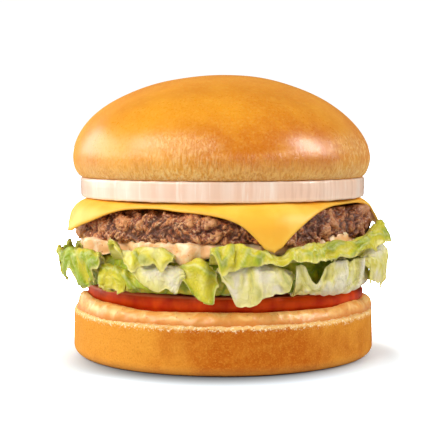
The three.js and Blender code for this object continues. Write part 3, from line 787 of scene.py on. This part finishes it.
def build_patty():
    """Minced beef: lumps parted by cracks, strands and crumbs on them, pressed in where the smear is."""
    shoulder, foot_across, foot_up = 5.7, 2.9, 2.3
    radius, height = turned_profile(
        [[PATTY_RADIUS - 9, PATTY_FLOOR], [PATTY_RADIUS - foot_across, PATTY_FLOOR]],
        arc((PATTY_RADIUS - foot_across, PATTY_FLOOR + foot_up), foot_across, foot_up, -90, 0),
        arc((PATTY_RADIUS - shoulder, PATTY_TOP - shoulder), shoulder, shoulder, 0, 90),
        [[PATTY_RADIUS - 9, PATTY_TOP]],
        spacing=0.3, inner=(12, 34),
    )
    bearing = round_the_stack(1080)
    aside = 0.7 * np.sin(bearing) * radius / PATTY_RADIUS
    grid = polar(radius + aside, bearing, height)
    edge_share = smooth(radius, PATTY_RADIUS - 9, PATTY_RADIUS - 3)
    warp = drifts(grid, 7, 2, 1.0)
    packed = grid + 2.4 * warp
    near, second = nearest_two(packed, 3.8)
    crack = 1 - smooth(second - near, 0.0, 0.3)
    strands = lumps(packed, 4.0, 3, 3.0)
    crumbs = lumps(grid + 0.9 * warp, 1.35, 2, 9.0)
    swell = clouds(grid, 11, 2, offset=8.0)
    knobs = lumps(grid + 1.6 * warp, 7.0, 1, 5.0)
    depth = 1.1 * swell + 0.5 * knobs - 0.4 * crack + 0.26 * strands + 0.17 * crumbs - 0.1
    grid = displaced(grid, edge_share * depth)
    pressed = hump(bearing, *SMEAR) * (1 - smooth(grid[..., 2], PATTY_FLOOR + 1.5, PATTY_FLOOR + 3.5))
    grid = displaced(grid, -edge_share * 1.2 * pressed)
    grid[..., 2] = np.clip(grid[..., 2], PATTY_FLOOR - 0.9, PATTY_TOP + 0.1)
    # The relief also places the painted light on the lumps and the painted shade in the hollows.
    relief = 0.6 - 0.25 * crack + 0.17 * strands + 0.12 * crumbs + 0.15 * swell + 0.16 * knobs
    make_turned("patty", grid, "beef_patty", "beef", patty_finish(), relief=np.clip(relief, 0, 1))


# -------- cheese

CHEESE_BEARING = 16  # of the corner that hangs in front
CHEESE_SHIFT = (3.6, 1.3)  # off the middle of the stack, towards that corner and to the right of it
CHEESE_CORNER_CUT = 1.7
CHEESE_BEND_START = 44.5
CHEESE_BEND_RADIUS = 7.45
CHEESE_MELT = [(-51, 60, 6.0), (-18, 60, 4.2), (14, 18, 1.1)]  # where its rim has run lower


def cheese_finish():
    """Smooth satin slice, faintly clouded, and a little deeper in colour on its cut edge."""
    cheese = Finish("cheese", Roughness=0.48, Coat_Weight=0.05, Coat_Roughness=0.3)
    cheese.paint(
        srgb(254, 200, 74),
        ((250, 182, 48), cheese.noise(14, 3, 0.55), 0.36, 0.64),
        ((248, 184, 60), cheese.attribute("cut")),
    )
    cheese.set("Normal", cheese.bump(cheese.noise(3.5, 3), 0.06))
    cheese.subsurface(0.3, (1.0, 0.6, 0.15), 3.0)
    return cheese


def cheese_surface(around, out):
    """The middle of the slice: around runs once round its rim, out runs from its centre to its rim."""
    reach = CHEESE_SIDE / math.sqrt(2)
    corners = np.array([[reach, 0], [0, reach], [-reach, 0], [0, -reach], [reach, 0]])
    place = 4 * (around % 1)
    side = np.minimum(place.astype(int), 3)
    share = place - side
    kept = 1 - (CHEESE_CORNER_CUT / reach) * (1 - smooth(np.minimum(share, 1 - share), 0, 0.06))
    rim = [kept * (corners[side, k] * (1 - share) + corners[side + 1, k] * share) for k in (0, 1)]
    ahead, aside = CHEESE_SHIFT[0] + out * rim[0], CHEESE_SHIFT[1] + out * rim[1]
    turn = np.arctan2(aside, ahead)
    bearing = turn + math.radians(CHEESE_BEARING)
    # It lies flat, bends down round an arc over the patty's edge, and hangs straight from there, at a lean.
    flat = np.hypot(ahead, aside) + humps(bearing, CHEESE_MELT) * smooth(out, 0.7, 1)
    lean = np.radians(70 + 5 * np.cos(turn) - 10 * np.sin(turn) + 10 * np.cos(2 * turn))
    bend_start = CHEESE_BEND_START - 0.2 * np.sin(turn)
    past = np.maximum(0, flat - bend_start)
    bend = np.minimum(past / CHEESE_BEND_RADIUS, lean)
    hanging = past - bend * CHEESE_BEND_RADIUS
    radius = np.minimum(flat, bend_start) + CHEESE_BEND_RADIUS * np.sin(bend) + hanging * np.cos(bend)
    drop = CHEESE_BEND_RADIUS * (1 - np.cos(bend)) + hanging * np.sin(bend)
    return polar(radius, bearing, CHEESE_MIDDLE - drop)


def build_cheese():
    """The slice: its two sides about its bent middle, thinner towards a rounded edge."""
    around = np.linspace(0, 1, 400, endpoint=False)[None, :]
    out = np.concatenate([[0.2, 0.5, 0.66], np.linspace(0.72, 0.985, 34), [0.991, 0.996, 0.999]])[:, None]
    grid = cheese_surface(around + 0 * out, out + 0 * around)
    down = grid_normals(grid, True)
    grid += down * (smooth(out, 0.7, 0.85) * 0.22 * clouds(grid, 11, 2))[..., None]
    rounding = np.sqrt(1 - ((out - 0.975) / 0.025).clip(0, 0.98) ** 2)
    half = CHEESE_THICKNESS / 2 * rounding * (1 - 0.45 * smooth(out, 0.78, 0.98))
    side = down * half[..., None]
    wall = np.concatenate([grid + side, (grid - side)[::-1]])
    cut = np.broadcast_to(smooth(out, 0.975, 0.995), grid.shape[:2])
    cut = np.concatenate([cut, cut[::-1]])
    make_turned("cheese", wall, "cheese_slice", "cheese", cheese_finish(), cut=cut)


# -------- lettuce

LEAF_ROOT_RADIUS = 12.0
LEAF_HEM_RADIUS = 53.0
LEAF_BED_WAVE = 1.0
LEAF_SAG = 4.6  # how much lower the upper leaves lie at the root than at the shoulder
LEAF_LEVELS = 4
LEAF_TEAR = 0.6  # the height of the waves along the solid's hem
LEAF_HANG = 11.0  # the length that hangs out of the stack
LEAF_COLUMN = 0.4  # the width of a column of its mesh
SHOULDER_AT = 0.4  # the share of its length that lies in the stack


def leaf(name, level, bearings, shoulder, ruffle, crest, hem, green, frill=0.8, **others):
    """One torn leaf, as its solid has it, and how green it is from its crest to its hem.

    bearings holds its two sides at the shoulder and at the hem, ruffle a count, a depth and a phase, crest
    and hem rows of (radius, height), and notch a bearing, a width and a depth. half is half its thickness,
    tear how ragged its hem is, and corner how much of its corners is torn off. Its folds run from the root
    to the hem, or, with lengthwise at 1, along the leaf.
    """
    usual = {"notch": None, "half": 0.32, "lengthwise": 0, "tear": 0.3, "corner": 0.16}
    given = {"name": name, "level": level, "bearings": bearings, "shoulder": shoulder, "ruffle": ruffle}
    return {**usual, **given, "crest": crest, "hem": hem, "green": green, "frill": frill, **others}


LEAVES = [
    leaf("left", 1.7, [(-104, -50), (-112, -44.5)], 45, (4, 0.45, 0.4),
         [(49, 30), (51.2, 32), (52.6, 33.4), (53.8, 35), (53.8, 37.4), (52.6, 36.6)],
         [(51.6, 30), (53.4, 36.8), (54.8, 35), (55.4, 28), (53.6, 26), (52.6, 29)],
         (0.75, 1.0), 1.1, lengthwise=0.5),
    leaf("front_left", 2.5, [(-53, -30), (-50, -20)], 45, (3, 0.7, 2.2),
         [(49.5, 32), (51.2, 32.6), (51, 31.5), (50.2, 30.4), (49.2, 30)],
         [(52.3, 29.6), (53.6, 25.2), (51.8, 25.6), (50.6, 27.6), (50.2, 26.2)], (0.55, 0.95), 0.7),
    leaf("rib", 2.95, [(-35, -14), (-33, -12)], 45, (2, 0.2, 0),
         [(51.4, 33.4), (51.9, 33.8), (51.8, 33.4), (50.6, 32)],
         [(52.4, 29.6), (52.6, 27.8), (52.4, 25.9), (51.6, 25)], (0.0, 0.25), 0.15, half=0.6, tear=0.12),
    leaf("centre", 3.4, [(-19, -4.5), (-13.6, -0.2)], 45, (1.5, 0.7, 2.4),
         [(49.6, 33.1), (51.4, 33.8), (52.2, 35.1), (50.6, 31.4)],
         [(52.8, 28.4), (53.2, 24.4), (53.4, 23.4), (52.9, 23.6)], (0.55, 0.9), 0.5, tear=0.15),
    leaf("pale", 2.5, [(-3.6, 25), (0.9, 26)], 45, (3, 0.6, 0.6),
         [(50.6, 32.3), (52.3, 34.3), (52.6, 34.6), (52.2, 34), (51.2, 32.6), (50, 31.2)],
         [(53.3, 24.4), (54, 21.9), (54, 21.9), (53.8, 25), (52.8, 25.8), (51.6, 26)],
         (0.05, 0.22), 0.25, tear=0.05),
    leaf("upper_left", 4, [(-47, -17), (-39, -16.5)], 47, (3, 0.7, 0.9),
         [(52, 39.4), (52, 38.4), (52.2, 38), (52.4, 39), (52.4, 39.2), (51.2, 36.6)],
         [(53.8, 43.6), (54, 35), (54, 31.8), (54.6, 32), (54.8, 32.2), (53.4, 33)],
         (0.35, 0.65), 0.5, tear=0.16),
    leaf("upper_right", 4, [(-4.8, 104), (-3.2, 104)], 48.8, (9, 0.8, 0),
         [(51.8, 39), (51.8, 40.2), (51, 37), (52, 39.8), (52.2, 40), (52.4, 40),
          (52.4, 41), (52.4, 43.8), (52.6, 44.8), (52.8, 43), (51.6, 37.6)],
         [(54.4, 31.6), (54.8, 33.6), (55, 35), (55.2, 35), (55.2, 35.2), (55.2, 36.4),
          (55.4, 37.2), (55.8, 37.8), (56, 39.2), (56, 39.4), (53.6, 37)],
         (0.4, 0.8), 0.35, lengthwise=1, tear=0.12),
    leaf("right", 1, [(26.8, 60.5), (24.8, 66)], 45, (3.5, 0.5, 1),
         [(50.6, 25.4), (51.4, 25.1), (51.6, 25), (51.4, 25.2), (50.4, 25.6)],
         [(53, 35), (53.4, 34.8), (53.4, 34.2), (53.2, 35), (51.6, 32)],
         (0.0, 0.25), 0.4, notch=(32, 12.5, 7), tear=0.06, corner=0.02),
    leaf("right_edge", 2.8, [(61, 116), (57, 116)], 45, (4, 0.8, 0.3),
         [(51.8, 34.2), (52.8, 35.6), (53.4, 36), (52.6, 34.4), (51.2, 32.4)],
         [(53, 27), (53.8, 24.2), (54.4, 26), (53.6, 27.4), (52.4, 29)], (0.05, 0.4), tear=0.12),
    leaf("back_right", 1, [(104, 150), (108, 152)], 45, (4, 0.8, 2),
         [(49.4, 25.5), (50.2, 25.2), (50.8, 25.2), (49.6, 25.5)],
         [(50, 28.5), (53, 32), (53.6, 31.5), (50, 29)], (0.3, 0.7)),
    leaf("back", 2.8, [(150, 218), (148, 220)], 45, (5.5, 0.9, 1.6),
         [(51, 32.4), (51.5, 32), (52.2, 31.8), (51.8, 32), (51, 32.4)],
         [(53.5, 29.5), (54.6, 24.5), (54, 26.5), (54.8, 23.5), (54.4, 29.5)], (0.35, 0.8), 0.9),
    leaf("back_left", 1, [(214, 252), (218, 244)], 45, (3, 0.8, 0.2),
         [(49.4, 25.5), (50.4, 25.2), (50.4, 25.2), (49.4, 25.5)],
         [(50, 28), (53.4, 31.4), (53, 30.6), (50.2, 27.5)], (0.2, 0.6)),
    leaf("upper_back_right", 4, [(109, 180), (109, 182)], 48, (6, 0.8, 0.8),
         [(51, 36), (52, 37), (52.2, 37.4), (51.8, 37), (51, 36)],
         [(53.5, 34.5), (55.4, 34), (55.2, 35.8), (55, 34.2), (53, 34)], (0.4, 0.8), 0.7),
    leaf("upper_back_left", 4, [(187, 295), (187, 293)], 48, (9, 0.7, 2.2),
         [(51, 36), (51.6, 36.7), (52, 37.2), (52.1, 37.3), (51.6, 36.8),
          (50.5, 36.3), (49.5, 35.2), (49, 35.1), (48.8, 35.3)],
         [(53, 34.6), (54.6, 34.1), (55.5, 34.7), (55.4, 35.4), (54.6, 34.4),
          (52.2, 34.8), (50.5, 35.3), (49.8, 35), (49.4, 35.3)], (0.4, 0.8), 0.6),
]

# The crumpled folds deeper in the stack: their bearings, the half of their spread in degrees and in
# millimetres, their radius, the height of their foot, and how high they stand.
FOLD_BEARINGS = range(-150, 210, 60)
FOLD_SPREAD = 33
FOLD_REACH = 28
FOLD_RADIUS = 46.2
FOLD_FOOT = 24.7
FOLD_RISE = 10.6


def lettuce_finish():
    """Crisp leaf: white ribs and pale flesh that turn yellow green, then green, towards the torn hem, with
    painted shade in its hollows and painted light on its ridges.
    """
    skin = Finish("lettuce", Roughness=0.36, Specular_IOR_Level=0.45, Coat_Weight=0.16, Coat_Roughness=0.16)
    fold = skin.attribute("fold")
    mottle = skin.times(skin.plus(skin.noise(7.0, 3, 0.6), -0.5), 0.9)
    streaks = skin.times(skin.attribute("streak"), 0.14)
    # The fold paints shade into the hollows, greener and darker, and light onto the ridges, paler.
    green_and_fold_shading = skin.plus(mottle, streaks, skin.attribute("green"), skin.times(fold, -0.3))
    skin.paint(
        srgb(246, 238, 204),
        ((234, 226, 138), green_and_fold_shading, -0.1, 0.3),
        ((216, 204, 50), green_and_fold_shading, 0.25, 0.6),
        ((146, 172, 12), green_and_fold_shading, 0.55, 1.15),
        ((244, 238, 176), skin.times(skin.attribute("vein"), 0.55)),
        # Painted shade, dark olive, in the deepest hollows.
        ((124, 130, 12), fold, -1, -0.25, 0.55, 0),
        ((250, 238, 150), skin.times(skin.attribute("edge"), 0.7)),
    )
    puckers = skin.noise(2.8, 5, 0.62, distortion=1.2)
    skin.set("Normal", skin.bump(puckers, 1.1, skin.bump(skin.noise(0.5, 2), 0.08)))
    skin.subsurface(0.35, (0.8, 1.0, 0.2), 1.2)
    return skin


def catmull(values, t):
    """Smooth curves through evenly spaced rows of values, at each t from 0 to 1."""
    values = np.array(values, float)
    last = len(values) - 1
    place = np.clip(t, 0, 1) * last
    i = np.minimum(place.astype(int), last - 1)
    w = (place - i)[..., None]
    before, start, end, after = [values[np.clip(i + k, 0, last)] for k in (-1, 0, 1, 2)]
    bend = 2 * before - 5 * start + 4 * end - after
    twist = 3 * (start - end) + after - before
    return start + 0.5 * w * (end - before + w * (bend + w * twist))


def past_shoulder(v):
    """0 up to a leaf's shoulder, and from there on to 1 at its hem."""
    return np.clip((v - SHOULDER_AT) / (1 - SHOULDER_AT), 0, 1)


def leaf_surface(one, u, v, drift):
    """The middle of a leaf: u runs across it, v from its root to its hem, and drift moves its ruffles."""
    bed_height = LETTUCE_FLOOR + LETTUCE_HEIGHT * (one["level"] - 0.5) / LEAF_LEVELS
    sag = LEAF_SAG * smooth(one["level"], 1, 2.5)
    shoulder = np.array([one["shoulder"], bed_height])
    count, depth, phase = one["ruffle"]
    past = past_shoulder(v)
    flat = np.minimum(v / SHOULDER_AT, 1)
    at_shoulder, at_hem = one["bearings"]
    sides = [np.radians(at_shoulder[i] * (1 - past) + at_hem[i] * past) for i in (0, 1)]
    bearing = sides[0] * (1 - u) + sides[1] * u
    crest, hem = catmull(one["crest"], u), catmull(one["hem"], u)
    hem[..., 1] += LEAF_TEAR * np.sin(23 * bearing + 9 * one["level"])
    if one["notch"]:
        at, width, drop = one["notch"]
        hem[..., 1] -= drop * hump(bearing, at, width)
    # Past its shoulder the leaf follows a curve over its crest to its hem, and ruffles across that curve.
    pull = 2 * crest - (shoulder + hem) / 2
    p = past[..., None]
    line = (1 - p) ** 2 * shoulder + 2 * p * (1 - p) * pull + p**2 * hem
    slope = (1 - p) * (pull - shoulder) + p * (hem - pull)
    steep = np.maximum(np.linalg.norm(slope, axis=-1), 1e-6)
    turn = 2 * math.pi * count * (u + drift) + phase + 1.5 * past
    wave = depth * smooth(past, 0.1, 1) * np.sin(turn) / steep
    bed = bed_height + LEAF_BED_WAVE * np.sin(5 * bearing) * (1 - smooth(flat, 0.6, 1)) - sag * (1 - flat)
    inner = LEAF_ROOT_RADIUS + (one["shoulder"] - LEAF_ROOT_RADIUS) * flat
    radius = np.where(past > 0, line[..., 0] - wave * slope[..., 1], inner)
    height = np.where(past > 0, line[..., 1] + wave * slope[..., 0], bed)
    return polar(radius, bearing, height)


def leaf_relief(across, along, seed):
    """Puffed flesh between creased veins: its height, how much of it is a vein, and faint streaks."""
    place = np.stack([across, along, np.full_like(across, 7.0 * seed)], -1)
    bent = place + 2.4 * drifts(place, 8, 3, 2.0)
    coarse = np.abs(clouds(bent, 5.4, 1, (1, 0.75, 1), 4.0))
    small = np.abs(clouds(bent, 2.5, 1, (1, 0.85, 1), 8.0))
    puffs = 1.7 * np.minimum(coarse, 0.4) + 0.9 * np.minimum(small, 0.34) - 0.45
    vein = np.maximum(np.exp(-((coarse / 0.035) ** 2)), 0.5 * np.exp(-((small / 0.045) ** 2)))
    streak = clouds(place, 1.3, 3, (1, 0.14, 1), 6.0)
    return puffs, vein, streak


def torn_reach(one, u, v, width, seed):
    """v along a leaf with a torn hem: it stops short where a piece is torn out, or runs a little on."""
    shore = np.stack([u[:1] * width, 0 * u[:1], 0 * u[:1]], -1)
    waved = sampled(noise.noise, shore, 7.0, offset=seed)
    teeth = 0.3 - np.abs(sampled(noise.noise, shore, 4.0, offset=seed + 3))
    ragged = sampled(noise.noise, shore, 1.1, offset=seed + 6)
    corners = 1 - smooth(np.minimum(u, 1 - u) * width, 0, 3.5)
    torn = one["tear"] * (0.35 * waved + teeth + 0.1 * ragged) - one["corner"] * corners
    return np.minimum(v * (1 + torn * smooth(v, SHOULDER_AT, 1)), 1.08)


def build_leaf(one, finish):
    """One torn leaf: the shape of its solid, then its pleats, frills and puffs, free outside the stack."""
    first, last = one["bearings"][1]
    width = math.radians(last - first) * LEAF_HEM_RADIUS
    columns = max(40, round(width / LEAF_COLUMN))
    rows = np.concatenate([np.linspace(0, SHOULDER_AT, 6)[:-1], np.linspace(SHOULDER_AT, 1, 42)])
    u, v = np.meshgrid(np.linspace(0, 1, columns), rows)
    seed = one["level"] * 3 + first * 0.11
    across = u * width
    past = past_shoulder(v)
    drift = 0.7 / one["ruffle"][0] * clouds(np.stack([across, 8 * v, 0 * u + seed], -1), 9, 2)
    grid = leaf_surface(one, u, torn_reach(one, u, v, width, seed), drift)

    # The grain that its folds follow fans out towards the hem, or is drawn out along the leaf.
    along = past * LEAF_HANG
    lengthwise = one["lengthwise"] * smooth(u, 0.25, 0.4)
    fanned = across - 1.1 * (u - 0.5) * along * (1 - lengthwise)
    across_grain, along_grain = fanned * (1 - 0.72 * lengthwise), along * (1 + 1.6 * lengthwise)
    puffs, vein, streak = leaf_relief(across_grain, along_grain, seed)
    place = np.stack([across_grain, along_grain, 0 * u], -1)
    place = place + 2.2 * drifts(place, 9, 2, 5.0)
    pleats = 1.8 * clouds(place, 7.5, 2, (1, 0.6, 1), seed) * smooth(past, 0.05, 0.7)
    frills = 1.5 * clouds(place, 3.0, 2, (1, 0.5, 1), seed + 5) * smooth(past, 0.4, 1)
    free = smooth(past, 0.05, 0.4)
    ends = smooth(np.minimum(u, 1 - u), 0, 0.06)
    lift = free * 1.3 * puffs + one["frill"] * (1.1 * pleats + 0.7 * frills) * ends
    grid = displaced(grid, lift, wrapped=False)

    thinned = one["half"] * (0.3 + 0.7 * smooth(1 - past, 0, 0.35))
    inner, outer = one["green"]
    attributes = {
        "green": inner + (outer - inner) * smooth(past, 0.2, 1),
        "vein": vein,
        # The fold carries the painted shade in the hollows and the painted light on the ridges.
        "fold": free * np.clip(2 * puffs + 0.6 * pleats * one["frill"] + 0.3 * frills, -1, 1),
        "streak": streak,
        "edge": np.maximum(smooth(past, 0.94, 1), 1 - smooth(np.minimum(u, 1 - u) * width, 0, 0.6)),
    }
    name = one["name"]
    make_sheet(f"leaf_{name}", grid, thinned[..., None], f"lettuce_{name}", finish, attributes)


def build_inner_folds(finish):
    """Crumpled folds of the leaves deeper in the stack, which show in the gaps between the torn hems."""
    for index, middle in enumerate(FOLD_BEARINGS):
        u, v = np.meshgrid(np.linspace(-1, 1, 96), np.linspace(0, 1, 20))
        across, along = FOLD_REACH * u, LEAF_HANG * v
        puffs, vein, streak = leaf_relief(across, along, 20 + index)
        place = np.stack([across, along, 0 * u + 9 * index], -1)
        radius = FOLD_RADIUS + clouds(place, 9, 2) + 1.3 * puffs + 1.2 * np.sin(math.pi * v)
        radius = radius - 1.5 * np.abs(u) ** 6
        height = FOLD_FOOT + FOLD_RISE * v + 0.7 * clouds(place, 5, 2, offset=3.0)
        grid = polar(radius, np.radians(middle + FOLD_SPREAD * u), height)
        # The fold carries the painted shade in the hollows and the painted light on the ridges.
        fold = np.clip(2 * puffs, -1, 1)
        attributes = {"green": 1 + 0 * u, "vein": vein, "fold": fold, "streak": streak, "edge": 0 * u}
        make_sheet(f"leaf_fold_{index + 1}", grid, 0.25, None, finish, attributes)


# -------- all of it

add_camera()
add_stage()
build_heel()
sauce = sauce_finish()
build_lower_spread(sauce)
build_tomato()
greens = lettuce_finish()
for one_leaf in LEAVES:
    build_leaf(one_leaf, greens)
build_inner_folds(greens)
build_upper_spread(sauce)
build_patty()
build_cheese()
build_onion()
build_crown()
